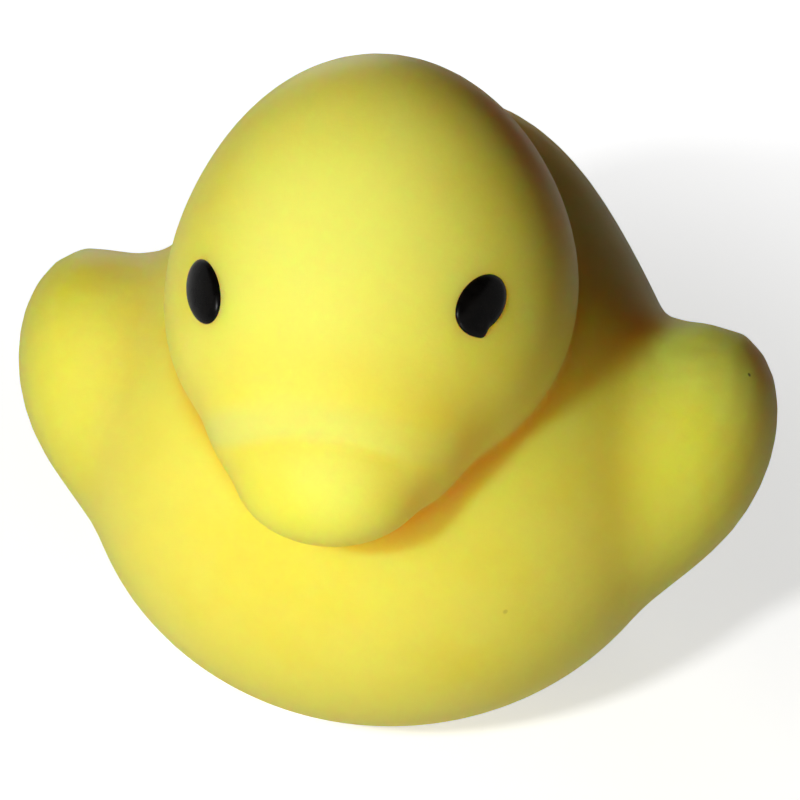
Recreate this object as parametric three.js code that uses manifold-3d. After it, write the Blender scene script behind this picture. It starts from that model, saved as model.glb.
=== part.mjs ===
// A soft squeeze toy, moulded in one piece in the shape of a chick: a round belly with a flat underside, a
// wing on each flank, a raised tail, and a big head with a broad bill. Its two eyes are drops of black paint.
// Millimetres, +Z up. The face looks along -Y, and the origin is the middle of the flat underside.
import * as THREE from 'three';
import { mergeVertices } from 'three/addons/utils/BufferGeometryUtils.js';
import Module from 'manifold-3d';

// Belly: a ball whose lowest part is cut off flat. The soft trunk stands a little askew.
const BELLY_HALF_WIDTH = 17.1;
const BELLY_HALF_DEPTH = 17.4;
const BELLY_HALF_HEIGHT = 14.5;
const BELLY_MIDDLE = 12.1; // height of its middle above the underside
const TRUNK_TILT = 1.3; // degrees, leaning to the toy's left

// Wings: fat ovals on the flanks, rear ends up.
const WING_HALF_THICKNESS = 4.9;
const WING_HALF_LENGTH = 7.4;
const WING_HALF_HEIGHT = 7.1;
const WING_SINK = 1.1; // from the belly's side in to the wing's middle
const WING_FORWARD = 0.2; // from the belly's middle to the wing's middle
const WING_RISE = 2.1; // from the belly's middle up to the wing's middle
const WING_PITCH = 32; // degrees, rear end up
const WING_LIFT = 15; // degrees, upper edge out
const WING_SWEEP = 11; // degrees, rear end out
const WING_FILLET = 2.5;

// Tail: a broad stub that rises behind the head.
const TAIL_HALF_WIDTH = 8.6;
const TAIL_HALF_LENGTH = 9.1;
const TAIL_HALF_THICKNESS = 5.5;
const TAIL_SINK = 6.2; // from the belly's back in to the tail's middle
const TAIL_RISE = 5.7; // from the belly's middle up to the tail's middle
const TAIL_PITCH = 37; // degrees, tip up
const TAIL_FILLET = 8;

// Head: wide cheeks with a higher crown, leaning a little to the toy's right.
const CHEEK_HALF_WIDTH = 10.6;
const CHEEK_HALF_DEPTH = 11.7;
const CHEEK_HALF_HEIGHT = 8.5;
const HEAD_BACK = 12.0; // from the belly's front back to the cheeks' middle
const HEAD_SINK = 1.55; // from the belly's top down to the cheeks' middle
const HEAD_TILT = 2; // degrees
const CROWN_HALF_WIDTH = 8.6;
const CROWN_HALF_DEPTH = 9;
const CROWN_HALF_HEIGHT = 9;
const CROWN_BACK = 2.4; // from the cheeks' middle to the crown's middle
const CROWN_RISE = 3.1; // from the cheeks' middle up to the crown's middle
const CROWN_FILLET = 4;

// Bill: an upright oval, whose upper edge arches across the face as a lip, and a round scoop that stands out
// under it.
const LIP_HALF_WIDTH = 6.2;
const LIP_HALF_HEIGHT = 4.9;
const LIP_HALF_THICKNESS = 2.35;
const LIP_SINK = 2.1; // from the cheeks' front in to the lip's middle
const LIP_DROP = 2.35; // from the cheeks' middle down to the lip's middle
const LIP_PITCH = 17; // degrees, upper edge forward
const SCOOP_HALF_WIDTH = 5.1;
const SCOOP_HALF_LENGTH = 4.4;
const SCOOP_HALF_THICKNESS = 3.6;
const SCOOP_SINK = 1.3; // from the cheeks' front in to the scoop's middle
const SCOOP_DROP = 3.1; // from the cheeks' middle down to the scoop's middle
const MOUTH_FILLET = 0.8; // between the lip and the scoop
const FACE_FILLET = 2.4; // where both run into the face

// Eyes: oval drops of paint, each where the brush put it. Angles are degrees from the cheeks' middle.
const EYE_LENGTH = 3.8;
const EYE_WIDTH = 2.5;
const EYE_THICKNESS = 0.4;
const EYE_SEAT_GAP = 0.3;
const RIGHT_EYE_AROUND = 48; // from straight ahead
const RIGHT_EYE_ABOVE = 23;
const RIGHT_EYE_LEAN = 15; // outer end up
const LEFT_EYE_AROUND = 45.5;
const LEFT_EYE_ABOVE = 27;
const LEFT_EYE_LEAN = 30;

// Fineness of the facets, and how closely they follow the true form.
const TRUNK_DETAIL = 15;
const HEAD_DETAIL = 17;
const HEAD_FOCUS = 0.45; // more draws the head's facets closer together on the face
const EYE_SIDES = 24;
const EYE_RINGS = 8;
const SKIN_TOLERANCE = 0.0001;
const FAR_OUTSIDE = 100; // a distance that no part of the toy reaches

const wasm = await Module();
wasm.setup();

// A three.js geometry as one closed surface, with each corner written once.
function closedSurface(geometry) {
  geometry.deleteAttribute('normal');
  geometry.deleteAttribute('uv');
  return mergeVertices(geometry);
}

// A closed surface as a solid that can be joined and cut.
function solidFrom(surface) {
  return new wasm.Manifold(new wasm.Mesh({
    numProp: 3,
    vertProperties: Float32Array.from(surface.getAttribute('position').array),
    triVerts: Uint32Array.from(surface.getIndex().array),
  }));
}

function geometryFrom(solid) {
  const mesh = solid.getMesh();
  const geometry = new THREE.BufferGeometry();
  geometry.setAttribute('position', new THREE.BufferAttribute(mesh.vertProperties, mesh.numProp));
  geometry.setIndex(new THREE.BufferAttribute(mesh.triVerts, 1));
  geometry.computeVertexNormals();
  return geometry;
}

// A lobe is a unit ball, stretched to its half sizes, turned and placed in its group. It is given as a
// function of a point: about how far the point is from the lobe's skin, and less than zero inside.
function lobe(group, position, halfSizes, degrees = [0, 0, 0]) {
  const ball = new THREE.Object3D();
  ball.position.fromArray(position);
  ball.rotation.set(...degrees.map(THREE.MathUtils.degToRad), 'ZYX');
  ball.scale.fromArray(halfSizes);
  group.add(ball);
  ball.updateWorldMatrix(true, false);
  const toBall = ball.matrixWorld.clone().invert();
  return (point) => {
    const local = point.clone().applyMatrix4(toBall);
    const reach = local.length();
    return (reach * (reach - 1)) / local.divide(ball.scale).length();
  };
}

// Two forms as one, with a fillet in the crease between them.
function blend(first, second, fillet) {
  return (point) => {
    const a = first(point);
    const b = second(point);
    const overlap = Math.max(fillet - Math.abs(a - b), 0);
    return Math.min(a, b) - (overlap * overlap) / (4 * fillet);
  };
}

// The point on a form's skin in this direction from its middle, reached from outside.
function skinPoint(form, middle, direction) {
  const point = middle.clone().addScaledVector(direction, FAR_OUTSIDE);
  let gap = form(point);
  while (gap > SKIN_TOLERANCE) {
    point.addScaledVector(direction, -gap / 2);
    gap = form(point);
  }
  return point;
}

// A fine ball around a form's middle, drawn in until it lies on the form's skin. Its corners crowd towards
// focus.
function skin(form, middle, detail, focus = new THREE.Vector3()) {
  const ball = closedSurface(new THREE.IcosahedronGeometry(1, detail));
  const position = ball.getAttribute('position');
  for (let i = 0; i < position.count; i += 1) {
    const direction = new THREE.Vector3().fromBufferAttribute(position, i).add(focus).normalize();
    position.setXYZ(i, ...skinPoint(form, middle, direction));
  }
  return ball;
}

// Trunk: belly, wings and tail, in axes that lean with it.
const trunkGroup = new THREE.Group();
trunkGroup.position.z = BELLY_MIDDLE;
trunkGroup.rotation.y = THREE.MathUtils.degToRad(TRUNK_TILT);
const trunkMiddle = trunkGroup.position;
const belly = lobe(trunkGroup, [0, 0, 0], [BELLY_HALF_WIDTH, BELLY_HALF_DEPTH, BELLY_HALF_HEIGHT]);
const tail = lobe(
  trunkGroup,
  [0, BELLY_HALF_DEPTH - TAIL_SINK, TAIL_RISE],
  [TAIL_HALF_WIDTH, TAIL_HALF_LENGTH, TAIL_HALF_THICKNESS],
  [TAIL_PITCH, 0, 0],
);

// side is 1 on the toy's left and -1 on its right.
function wing(side) {
  return lobe(
    trunkGroup,
    [side * (BELLY_HALF_WIDTH - WING_SINK), -WING_FORWARD, WING_RISE],
    [WING_HALF_THICKNESS, WING_HALF_LENGTH, WING_HALF_HEIGHT],
    [WING_PITCH, side * WING_LIFT, -side * WING_SWEEP],
  );
}

let trunk = blend(belly, tail, TAIL_FILLET);
for (const side of [-1, 1]) {
  trunk = blend(trunk, wing(side), WING_FILLET);
}

// Head: cheeks, crown and bill, in axes that lean with it.
const headGroup = new THREE.Group();
headGroup.position.set(0, HEAD_BACK - BELLY_HALF_DEPTH, BELLY_MIDDLE + BELLY_HALF_HEIGHT - HEAD_SINK);
headGroup.rotation.y = THREE.MathUtils.degToRad(-HEAD_TILT);
const headMiddle = headGroup.position;
const cheeks = lobe(headGroup, [0, 0, 0], [CHEEK_HALF_WIDTH, CHEEK_HALF_DEPTH, CHEEK_HALF_HEIGHT]);
const crown = lobe(
  headGroup,
  [0, CROWN_BACK, CROWN_RISE],
  [CROWN_HALF_WIDTH, CROWN_HALF_DEPTH, CROWN_HALF_HEIGHT],
);
const lip = lobe(
  headGroup,
  [0, LIP_SINK - CHEEK_HALF_DEPTH, -LIP_DROP],
  [LIP_HALF_WIDTH, LIP_HALF_THICKNESS, LIP_HALF_HEIGHT],
  [LIP_PITCH, 0, 0],
);
const scoop = lobe(
  headGroup,
  [0, SCOOP_SINK - CHEEK_HALF_DEPTH, -SCOOP_DROP],
  [SCOOP_HALF_WIDTH, SCOOP_HALF_LENGTH, SCOOP_HALF_THICKNESS],
);
const face = blend(cheeks, crown, CROWN_FILLET);
const head = blend(face, blend(lip, scoop, MOUTH_FILLET), FACE_FILLET);

// Body: trunk and head in one casting, cut off flat at the ground.
function makeBody() {
  const ground = new THREE.BoxGeometry(FAR_OUTSIDE, FAR_OUTSIDE, FAR_OUTSIDE);
  ground.translate(0, 0, -FAR_OUTSIDE / 2);
  const faceFocus = new THREE.Vector3(0, -HEAD_FOCUS, 0);
  const casting = solidFrom(skin(trunk, trunkMiddle, TRUNK_DETAIL))
    .add(solidFrom(skin(head, headMiddle, HEAD_DETAIL, faceFocus)))
    .subtract(solidFrom(closedSurface(ground)));
  const rubber = new THREE.MeshStandardMaterial({ color: '#f2e35a', roughness: 0.55, metalness: 0 });
  const body = new THREE.Mesh(geometryFrom(casting), rubber);
  body.name = 'body';
  return body;
}

// Eye: a ball pressed flat on the head, level below and domed above. around, above and lean are degrees.
function makeEye(name, side, around, above, lean) {
  const sideways = side * THREE.MathUtils.degToRad(around);
  const upward = THREE.MathUtils.degToRad(above);
  const outward = new THREE.Vector3(
    Math.sin(sideways) * Math.cos(upward),
    -Math.cos(sideways) * Math.cos(upward),
    Math.sin(upward),
  ).applyQuaternion(headGroup.quaternion);
  const seat = skinPoint(head, headMiddle, outward);
  const long = new THREE.Vector3(0, 0, 1).cross(outward).normalize();
  long.applyAxisAngle(outward, side * THREE.MathUtils.degToRad(lean));
  const wide = outward.clone().cross(long);

  const drop = closedSurface(new THREE.SphereGeometry(1, EYE_SIDES, EYE_RINGS).rotateX(Math.PI / 2));
  const position = drop.getAttribute('position');
  for (let i = 0; i < position.count; i += 1) {
    const direction = seat.clone()
      .addScaledVector(long, (position.getX(i) * EYE_LENGTH) / 2)
      .addScaledVector(wide, (position.getY(i) * EYE_WIDTH) / 2)
      .sub(headMiddle)
      .normalize();
    const height = EYE_SEAT_GAP + EYE_THICKNESS * Math.max(position.getZ(i), 0);
    const point = skinPoint(head, headMiddle, direction).addScaledVector(direction, height).sub(seat);
    position.setXYZ(i, ...point);
  }
  drop.computeVertexNormals();

  const paint = new THREE.MeshStandardMaterial({ color: '#0d0b0a', roughness: 0.3, metalness: 0 });
  const eye = new THREE.Mesh(drop, paint);
  eye.name = name;
  eye.position.copy(seat);
  return eye;
}

const toy = new THREE.Group();
toy.add(makeBody());
toy.add(makeEye('right_eye', -1, RIGHT_EYE_AROUND, RIGHT_EYE_ABOVE, RIGHT_EYE_LEAN));
toy.add(makeEye('left_eye', 1, LEFT_EYE_AROUND, LEFT_EYE_ABOVE, LEFT_EYE_LEAN));

export default toy;
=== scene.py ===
import math

import bpy
from mathutils import Matrix, Vector


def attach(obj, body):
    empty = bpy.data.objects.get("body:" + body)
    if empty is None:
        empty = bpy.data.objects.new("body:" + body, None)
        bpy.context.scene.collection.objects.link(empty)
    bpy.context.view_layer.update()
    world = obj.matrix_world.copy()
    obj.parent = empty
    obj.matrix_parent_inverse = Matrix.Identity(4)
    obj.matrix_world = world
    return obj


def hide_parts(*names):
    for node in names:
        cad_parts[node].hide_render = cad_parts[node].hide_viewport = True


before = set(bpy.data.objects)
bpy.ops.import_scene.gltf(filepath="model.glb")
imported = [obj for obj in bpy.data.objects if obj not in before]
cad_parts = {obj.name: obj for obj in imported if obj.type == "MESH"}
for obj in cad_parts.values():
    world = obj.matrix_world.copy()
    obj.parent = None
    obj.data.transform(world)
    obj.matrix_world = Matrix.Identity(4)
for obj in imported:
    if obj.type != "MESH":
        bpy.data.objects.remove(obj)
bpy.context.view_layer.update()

# Body: the whole toy but its eyes, one solid casting of soft, cloudy yellow gel rubber. It leaves its mould
# with a satin skin, soft fillets in its creases and a fine mouth line under a full lip. The gel lets a little
# light in, two dust specks are caught in it, and shade is painted orange into its folds.
GEL_GRID = 0.0003
CREASE_PASSES = 5

bpy.ops.object.select_all(action="DESELECT")
casting = bpy.data.objects.new("gel_casting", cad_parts["body"].data.copy())
bpy.context.scene.collection.objects.link(casting)
bpy.context.view_layer.objects.active = casting
casting.select_set(True)
bpy.ops.object.mode_set(mode="EDIT")
bpy.ops.mesh.select_all(action="SELECT")
bpy.ops.mesh.remove_doubles(threshold=0.000001)
bpy.ops.object.mode_set(mode="OBJECT")


def finish_with(piece, kind, name, **settings):
    """Adds a modifier to a piece and applies it."""
    modifier = piece.modifiers.new(name, kind)
    for setting, value in settings.items():
        setattr(modifier, setting, value)
    bpy.context.view_layer.objects.active = piece
    bpy.ops.object.modifier_apply(modifier=name)


finish_with(casting, "REMESH", "one_skin", mode="VOXEL", voxel_size=GEL_GRID)
finish_with(casting, "SMOOTH", "soft_creases", factor=0.5, iterations=CREASE_PASSES)

# The bill's corners run softly into the cheeks. Places on the head are measured from its middle: across it
# to the toy's left, ahead (less than 0 towards the face) and above.
HEAD_MIDDLE = Vector((0, -0.0054, 0.02505))
HEAD_TILT = math.radians(-2)
BILL_CORNER = Vector((0.0063, -0.0101, -0.0012))
CORNER_SPREAD = 0.0032
CORNER_PASSES = 120

to_head = (Matrix.Translation(HEAD_MIDDLE) @ Matrix.Rotation(HEAD_TILT, 4, "Y")).inverted()
bill_corners = casting.vertex_groups.new(name="bill_corners")
for corner in casting.data.vertices:
    across, ahead, above = to_head @ corner.co
    apart = (Vector((abs(across), ahead, above)) - BILL_CORNER).length / CORNER_SPREAD
    bill_corners.add([corner.index], math.exp(-apart * apart), "REPLACE")
finish_with(
    casting, "SMOOTH", "soft_bill_corners", factor=0.5, iterations=CORNER_PASSES, vertex_group="bill_corners"
)

# The mouth is an arched groove across the bill, and the lip swells between it and a second arch above it.
BILL_FRONT = -0.009
MOUTH_TOP = 0.0003
MOUTH_ARCH = 77
MOUTH_HALF_WIDTH = 0.0045
MOUTH_DEPTH = 0.0002
MOUTH_SPREAD = 0.00035
LIP_TOP = 0.0021
LIP_TOP_ARCH = 68
LIP_SWELL = 0.00012
LIP_LOWER_SLOPE = 0.0006
LIP_UPPER_SLOPE = 0.0009

moves = []
for corner in casting.data.vertices:
    across, ahead, above = to_head @ corner.co
    over_mouth = above - MOUTH_TOP + MOUTH_ARCH * across * across
    under_top = LIP_TOP - LIP_TOP_ARCH * across * across - above
    reach = max(0, 1 - (across / MOUTH_HALF_WIDTH) ** 4) if ahead < BILL_FRONT else 0
    groove = MOUTH_DEPTH * math.exp(-((over_mouth / MOUTH_SPREAD) ** 2))
    swell = LIP_SWELL * max(0, min(1, over_mouth / LIP_LOWER_SLOPE))
    swell *= max(0, min(1, under_top / LIP_UPPER_SLOPE))
    moves.append(corner.normal * reach * (swell - groove))
for corner, move in zip(casting.data.vertices, moves):
    corner.co += move
bpy.ops.object.select_all(action="DESELECT")
casting.select_set(True)
bpy.ops.object.shade_smooth()

# How deep each place lies in a crease is measured against a rounded-off copy, for the painted crease shade.
ROUNDING_PASSES = 450

bpy.ops.object.duplicate()
rounder = bpy.context.object
finish_with(rounder, "SMOOTH", "rounded_off", factor=0.5, iterations=ROUNDING_PASSES)
crease_shade_depth = casting.data.attributes.new("crease_shade_depth", "FLOAT", "POINT")
for corner, rounded in zip(casting.data.vertices, rounder.data.vertices):
    crease_shade_depth.data[corner.index].value = (rounded.co - corner.co).dot(corner.normal)
bpy.ops.object.delete()


class Mix:
    """A value or colour being mixed in a material. Sums and products of values add their Math nodes."""

    def __init__(self, tree, socket=None):
        self.tree = tree
        self.socket = socket

    def node(self, kind, settings, sockets, output=0):
        made = self.tree.nodes.new("ShaderNode" + kind)
        for name, value in settings.items():
            setattr(made, name, value)
        for name, value in sockets.items():
            if isinstance(value, Mix):
                self.tree.links.new(value.socket, made.inputs[name])
            else:
                made.inputs[name].default_value = value
        return Mix(self.tree, made.outputs[output])

    def maths(self, operation, first, second):
        return self.node("Math", {"operation": operation}, {0: first, 1: second})

    def __add__(self, other):
        return self.maths("ADD", self, other)

    __radd__ = __add__

    def __sub__(self, other):
        return self.maths("SUBTRACT", self, other)

    def __rsub__(self, other):
        return self.maths("SUBTRACT", other, self)

    def __mul__(self, other):
        return self.maths("MULTIPLY", self, other)

    __rmul__ = __mul__

    def between(self, low, high):
        """0 below low, 1 above high, with a soft step between them."""
        sockets = {"Value": self, "From Min": low, "From Max": high}
        return self.node("MapRange", {"interpolation_type": "SMOOTHSTEP"}, sockets)

    def blend(self, first, second):
        """The first colour where this value is 0, the second where it is 1."""
        return self.node("Mix", {"data_type": "RGBA"}, {"Factor": self, 6: first, 7: second}, output=2)

    def spot(self, middle, core, reach):
        """1 at places nearer to a spot's middle than its core, fading to 0 at its reach."""
        away = self.node("VectorMath", {"operation": "DISTANCE"}, {0: self, 1: middle}, output="Value")
        return 1 - away.between(core, reach)

    def noise(self, scale, detail, roughness):
        """Soft noise over places."""
        sockets = {"Vector": self, "Scale": scale, "Detail": detail, "Roughness": roughness}
        return self.node("TexNoise", {}, sockets)

    def bump(self):
        """The normal of a surface that stands out by this height, in metres."""
        return self.node("Bump", {}, {"Height": self, "Strength": 1, "Distance": 1})


def new_material(name):
    material = bpy.data.materials.new(name)
    material.use_nodes = True
    shader = material.node_tree.nodes["Principled BSDF"]
    return material, shader, Mix(material.node_tree)


def feed(shader, socket, value):
    shader.id_data.links.new(value.socket, shader.inputs[socket])


GEL_YELLOW = (0.90, 0.76, 0.082, 1)
GEL_PALE = (0.92, 0.80, 0.11, 1)
GEL_PAINTED_SHADE = (0.84, 0.43, 0.008, 1)
GEL_PAINTED_HIGHLIGHT = (0.93, 0.89, 0.17, 1)
LIP_PAINTED_SHEEN = (0.76, 0.76, 0.165, 1)
SPECK_BROWN = (0.16, 0.12, 0.02, 1)
MILK_TINT = 0.25
CREASE_SHADE_STRENGTH = 0.8
LIP_SHEEN_STRENGTH = 0.75
LIP_SHEEN_SIDE_LOSS = 0.8

# Each edge is where a soft step from 0 to 1 begins and ends.
CLOUD_EDGE = (0.3, 0.7)
MILK_EDGE = (0.45, 0.8)
CREASE_SHADE_EDGE = (0.00005, 0.0009)
BILL_EDGE = (-0.011, -0.0085)
MOUTH_EDGE = (-0.002, -0.0008)
LIP_TOP_EDGE = (-0.0007, 0.0006)
LIP_MOUTH_EDGE = (-0.0003, 0.0006)
LIP_SIDE_EDGE = (0, 0.006)

# Each spot has its middle, core, reach and strength. The painted highlights are measured from the head's
# middle.
BROW_PAINTED_HIGHLIGHT = ((-0.0004, -0.0066, 0.0079), 0.001575, 0.0105, 0.85)
BILL_PAINTED_HIGHLIGHT = ((0.0008, -0.0136, -0.0009), 0.00048, 0.0032, 0.6)
DARK_SPECK = ((0.01961, -0.0006, 0.01969), 0.000055, 0.000143, 0.85)
FAINT_SPECK = ((0.00889, -0.01479, 0.01322), 0.00007, 0.000182, 0.25)

SKIN_ROUGHNESS = 0.46
ROUGHNESS_SPREAD = 0.08
SKIN_GLOSS = 0.05
GRAIN_HEIGHT = 0.000004
WAVE_HEIGHT = 0.00004
SCATTER_DEPTH = 0.009
SCATTER_BY_COLOUR = (1, 0.26, 0.025)

gel, gel_shader, mix = new_material("yellow_gel")
place = mix.node("TexCoord", {}, {}, output="Object")
clouds = place.noise(scale=140, detail=3, roughness=0.55)
milk = place.noise(scale=900, detail=2, roughness=0.6)
tone = clouds.between(*CLOUD_EDGE).blend(GEL_YELLOW, GEL_PALE)
tone = (milk.between(*MILK_EDGE) * MILK_TINT).blend(tone, GEL_PALE)

head_axes = {"Vector": place, "Location": HEAD_MIDDLE, "Rotation": (0, HEAD_TILT, 0)}
on_head = mix.node("Mapping", {"vector_type": "TEXTURE"}, head_axes)
across, ahead, above = (mix.node("SeparateXYZ", {}, {0: on_head}, output=axis) for axis in "XYZ")
over_mouth = above - MOUTH_TOP + MOUTH_ARCH * across * across
under_top = LIP_TOP - LIP_TOP_ARCH * across * across - above
on_bill = 1 - ahead.between(*BILL_EDGE)

# Painted shade: the gel is painted orange in its creases, most where they lie deepest, but not on the mouth.
crease_shade = mix.node("Attribute", {"attribute_name": "crease_shade_depth"}, {}, output="Fac").between(*CREASE_SHADE_EDGE)
off_mouth = 1 - on_bill * over_mouth.between(*MOUTH_EDGE)
tone = (crease_shade * CREASE_SHADE_STRENGTH * off_mouth).blend(tone, GEL_PAINTED_SHADE)
# Painted sheen: the lip's band between the mouth and the arch above it is painted paler, fading to the toy's
# left.
lip_sheen = under_top.between(*LIP_TOP_EDGE) * over_mouth.between(*LIP_MOUTH_EDGE)
lip_sheen = lip_sheen * (1 - across.between(*LIP_SIDE_EDGE) * LIP_SHEEN_SIDE_LOSS)
tone = (lip_sheen * LIP_SHEEN_STRENGTH * on_bill).blend(tone, LIP_PAINTED_SHEEN)
# Painted highlights: a broad paler patch on the brow and a small one on the bill.
for middle, core, reach, strength in (BROW_PAINTED_HIGHLIGHT, BILL_PAINTED_HIGHLIGHT):
    tone = (on_head.spot(middle, core, reach) * strength).blend(tone, GEL_PAINTED_HIGHLIGHT)
for middle, core, reach, strength in (DARK_SPECK, FAINT_SPECK):
    tone = (place.spot(middle, core, reach) * strength).blend(tone, SPECK_BROWN)

grain = place.noise(scale=5200, detail=2, roughness=0.6)
waves = place.noise(scale=260, detail=1, roughness=0.5)
feed(gel_shader, "Base Color", tone)
feed(gel_shader, "Roughness", SKIN_ROUGHNESS + grain * ROUGHNESS_SPREAD + clouds * ROUGHNESS_SPREAD)
feed(gel_shader, "Normal", (grain * GRAIN_HEIGHT + waves * WAVE_HEIGHT).bump())
gel_shader.inputs["Specular IOR Level"].default_value = SKIN_GLOSS
gel_shader.inputs["Subsurface Weight"].default_value = 1
gel_shader.inputs["Subsurface Radius"].default_value = SCATTER_BY_COLOUR
gel_shader.inputs["Subsurface Scale"].default_value = SCATTER_DEPTH
casting.data.materials.clear()
casting.data.materials.append(gel)

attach(casting, "root")
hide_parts("body")

# Eyes: two drops of thick black paint, dabbed on the cheeks by hand and dried to a gloss, a little raised in
# the middle. Each leans its own way, and the brush left a short pointed trail under the toy's left one.
PAINT_BLACK = (0.0012, 0.001, 0.0009, 1)
PAINT_THIN = (0.004, 0.0033, 0.0028, 1)
STROKE_EDGE = (0.3, 0.8)
PAINT_ROUGHNESS = 0.2
STROKE_ROUGHNESS = 0.16
PAINT_GLOSS = 0.05
RIPPLE_HEIGHT = 0.00006
PAINT_RISE = 0.00032
PAINT_RIM = 0.25
PAINT_BED = 0.00006
LAID_FROM = 0.002
TRAIL_TAPER = 1.4
DROP_SIDES = 72
DROP_RINGS = 7

paint, paint_shader, mix = new_material("black_paint")
place = mix.node("TexCoord", {}, {}, output="Object")
strokes = place.noise(scale=1500, detail=3, roughness=0.6)
ripple = place.noise(scale=700, detail=1, roughness=0.5)
feed(paint_shader, "Base Color", strokes.between(*STROKE_EDGE).blend(PAINT_BLACK, PAINT_THIN))
feed(paint_shader, "Roughness", PAINT_ROUGHNESS + strokes * STROKE_ROUGHNESS)
feed(paint_shader, "Normal", (ripple * RIPPLE_HEIGHT).bump())
paint_shader.inputs["Specular IOR Level"].default_value = PAINT_GLOSS


def paint_drop(name, node, middle, half_length, half_width, lean, trail=(0, 1, 1, 0)):
    """Lays a drop of paint on the skin over its CAD node. middle is how far it lies from the node's middle,
    round the head and up it, and lean is its turn in degrees. trail gives the direction of the brush's trail,
    its spread to either side, all in degrees, and its length."""
    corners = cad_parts[node].data.vertices
    seat = sum((v.co for v in corners), Vector()) / len(corners)
    outward = (seat - HEAD_MIDDLE).normalized()
    around = Vector((0, 0, 1)).cross(outward).normalized()
    upward = outward.cross(around)
    axes = Matrix((around, upward, outward)).transposed().to_4x4()
    seat = seat + around * middle[0] + upward * middle[1] + outward * LAID_FROM

    bpy.ops.object.select_all(action="DESELECT")
    bpy.ops.mesh.primitive_circle_add(vertices=DROP_SIDES, radius=1, fill_type="NGON")
    drop = bpy.context.object
    drop.name = drop.data.name = name
    bpy.ops.object.mode_set(mode="EDIT")
    bpy.ops.mesh.select_all(action="SELECT")
    for ring in range(DROP_RINGS):
        bpy.ops.mesh.inset(thickness=1 / (DROP_RINGS + 1))
    bpy.ops.mesh.poke()
    bpy.ops.object.mode_set(mode="OBJECT")

    wet = drop.vertex_groups.new(name="wet")
    trail_way, spread_before, spread_after, trail_length = trail
    for corner in drop.data.vertices:
        reach = min(corner.co.length, 1)
        wet.add([corner.index], math.sqrt(1 - reach * reach), "REPLACE")
        angle = math.degrees(math.atan2(corner.co.y, corner.co.x))
        turned = math.radians(angle - lean)
        outline = 1 / math.hypot(math.cos(turned) / half_length, math.sin(turned) / half_width)
        aside = (angle - trail_way + 180) % 360 - 180
        aside = aside / spread_after if aside > 0 else -aside / spread_before
        outline += trail_length * max(0, 1 - aside) ** TRAIL_TAPER
        corner.co = corner.co * outline
    drop.matrix_world = Matrix.Translation(seat) @ axes
    bpy.context.view_layer.update()
    finish_with(
        drop, "SHRINKWRAP", "laid_on_skin", target=casting, wrap_method="PROJECT", use_project_z=True,
        use_positive_direction=True, use_negative_direction=True, offset=-PAINT_BED,
    )
    finish_with(
        drop, "SOLIDIFY", "wet_film", thickness=PAINT_BED + PAINT_RISE, offset=1, vertex_group="wet",
        thickness_vertex_group=PAINT_RIM,
    )
    finish_with(drop, "SUBSURF", "rounded_rim", levels=1, render_levels=1)
    bpy.ops.object.select_all(action="DESELECT")
    drop.select_set(True)
    bpy.ops.object.transform_apply()
    bpy.ops.object.shade_smooth()
    drop.data.materials.append(paint)
    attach(drop, "root")
    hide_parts(node)


paint_drop(
    "right_eye_paint", "right_eye",
    middle=(0.00019, 0.00024), half_length=0.0019, half_width=0.00121, lean=-20.5,
)
paint_drop(
    "left_eye_paint", "left_eye",
    middle=(0.00047, -0.00008), half_length=0.00175, half_width=0.00119, lean=23,
    trail=(253, 50, 17, 0.00036),
)

# Floor: a plain white studio cove, a level sheet that curves up all round into a low wall. The camera sees it
# as white, its glow painted dimmer round the toy as shade, so that the toy's own shadow shows there.
FLOOR_REACH = 0.4
COVE_CURVE = 0.25
COVE_WALL = 0.25
CURVE_STEPS = 10
SHEET_GREY = (0.5, 0.5, 0.5, 1)
SHEET_WHITE = (0.8, 0.8, 0.8, 1)
SHADE_CORE = 0.02
SHADE_REACH = 0.08
SHADE_DEPTH = 0.4

bpy.ops.object.select_all(action="DESELECT")
bpy.ops.mesh.primitive_circle_add(vertices=96, radius=FLOOR_REACH, fill_type="NGON")
floor = bpy.context.object
floor.name = floor.data.name = "studio_floor"
bpy.ops.object.mode_set(mode="EDIT")
bpy.ops.mesh.select_all(action="SELECT")
bpy.ops.mesh.region_to_loop()
reach, rise = FLOOR_REACH, 0
for step in range(1, CURVE_STEPS + 2):
    turn = min(step / CURVE_STEPS, 1) * math.pi / 2
    next_reach = FLOOR_REACH + COVE_CURVE * math.sin(turn)
    next_rise = COVE_CURVE * (1 - math.cos(turn)) + (COVE_WALL if step > CURVE_STEPS else 0)
    bpy.ops.mesh.extrude_edges_move(TRANSFORM_OT_translate={"value": (0, 0, next_rise - rise)})
    growth = next_reach / reach
    bpy.ops.transform.resize(value=(growth, growth, 1), center_override=(0, 0, 0))
    reach, rise = next_reach, next_rise
bpy.ops.mesh.select_all(action="SELECT")
bpy.ops.mesh.normals_make_consistent(inside=True)
bpy.ops.object.mode_set(mode="OBJECT")
bpy.ops.object.shade_smooth_by_angle(angle=math.radians(30))

backdrop, sheet, mix = new_material("white_sheet")
path = mix.node("LightPath", {}, {}).socket.node
seen = Mix(mix.tree, path.outputs["Is Camera Ray"])
for kind in ("Is Glossy Ray", "Is Transmission Ray"):
    seen = seen + Mix(mix.tree, path.outputs[kind])
place = mix.node("TexCoord", {}, {}, output="Object")
painted_shade_round_toy = place.spot((0, 0, 0), SHADE_CORE, SHADE_REACH)
feed(sheet, "Base Color", seen.blend(SHEET_GREY, SHEET_WHITE))
# Painted shade: the glow the camera sees is dimmed round the toy.
feed(sheet, "Emission Color", seen * (1 - painted_shade_round_toy * SHADE_DEPTH))
sheet.inputs["Emission Strength"].default_value = 1
sheet.inputs["Roughness"].default_value = 0.9
sheet.inputs["Specular IOR Level"].default_value = 0
floor.data.materials.append(backdrop)

# Light: a small soft lamp in front, to the left of the camera and at about its height, a wider one low in
# front for the underside of the bill and belly, a wide one low behind, and hardly any light from the room.
TOY_MIDDLE = Vector((0, 0, 0.018))
ROOM_LIGHT = 0.008


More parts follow.
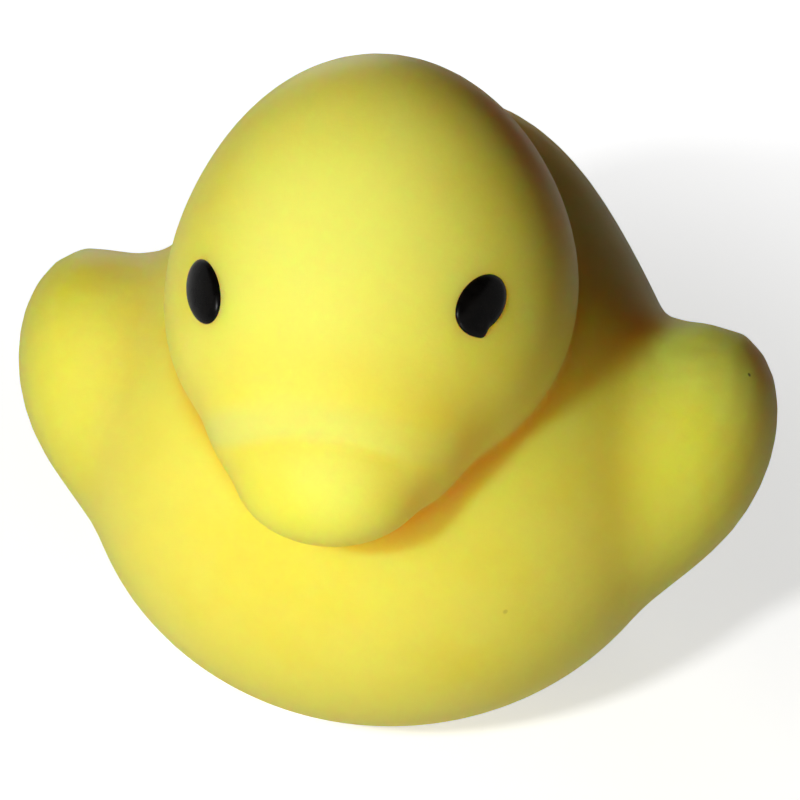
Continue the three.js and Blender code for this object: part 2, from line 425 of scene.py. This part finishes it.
def direction(azimuth, elevation):
    """The way from the toy to a place round it, in degrees. Azimuth 0 is straight ahead of the face."""
    turn, lift = math.radians(azimuth), math.radians(elevation)
    return Vector((math.sin(turn) * math.cos(lift), -math.cos(turn) * math.cos(lift), math.sin(lift)))


def lamp(name, azimuth, elevation, distance, size, power):
    """A round lamp that looks at the toy's middle."""
    back = direction(azimuth, elevation)
    bpy.ops.object.light_add(type="AREA", location=TOY_MIDDLE + back * distance)
    made = bpy.context.object
    made.name = name
    made.rotation_mode = "QUATERNION"
    made.rotation_quaternion = back.to_track_quat("Z", "Y")
    made.data.shape = "DISK"
    made.data.size = size
    made.data.energy = power


lamp("key_lamp", azimuth=-21, elevation=35, distance=0.16, size=0.02, power=0.168)
lamp("front_lamp", azimuth=5, elevation=5, distance=0.2, size=0.06, power=0.106)
lamp("rear_lamp", azimuth=-160, elevation=6, distance=0.3, size=0.12, power=0.24)
room = bpy.data.worlds.new("dim_room")
room.use_nodes = True
room.node_tree.nodes["Background"].inputs["Color"].default_value = (1, 1, 1, 1)
room.node_tree.nodes["Background"].inputs["Strength"].default_value = ROOM_LIGHT
bpy.context.scene.world = room

# Camera: close in front, a little to the toy's left and looking down on it, with a long lens. Its aim is set
# a little to the right and up, for the framing.
AIM = Vector((0, 0, 0.0145))
AIM_RIGHT = 0.000532
AIM_UP = 0.000343
CAMERA_AZIMUTH = 11.08
CAMERA_ELEVATION = 36
CAMERA_DISTANCE = 0.17

back = direction(CAMERA_AZIMUTH, CAMERA_ELEVATION)
right = direction(CAMERA_AZIMUTH + 90, 0)
up = back.cross(right)
bpy.ops.object.camera_add(location=AIM + back * CAMERA_DISTANCE)
camera = bpy.context.object
camera.data.lens = 138.1
camera.data.sensor_width = 36
camera.data.clip_start = 0.01
look = camera.location - (AIM + right * AIM_RIGHT + up * AIM_UP)
camera.rotation_mode = "QUATERNION"
camera.rotation_quaternion = look.to_track_quat("Z", "Y")
bpy.context.scene.camera = camera
bpy.context.scene.view_settings.view_transform = "Standard"
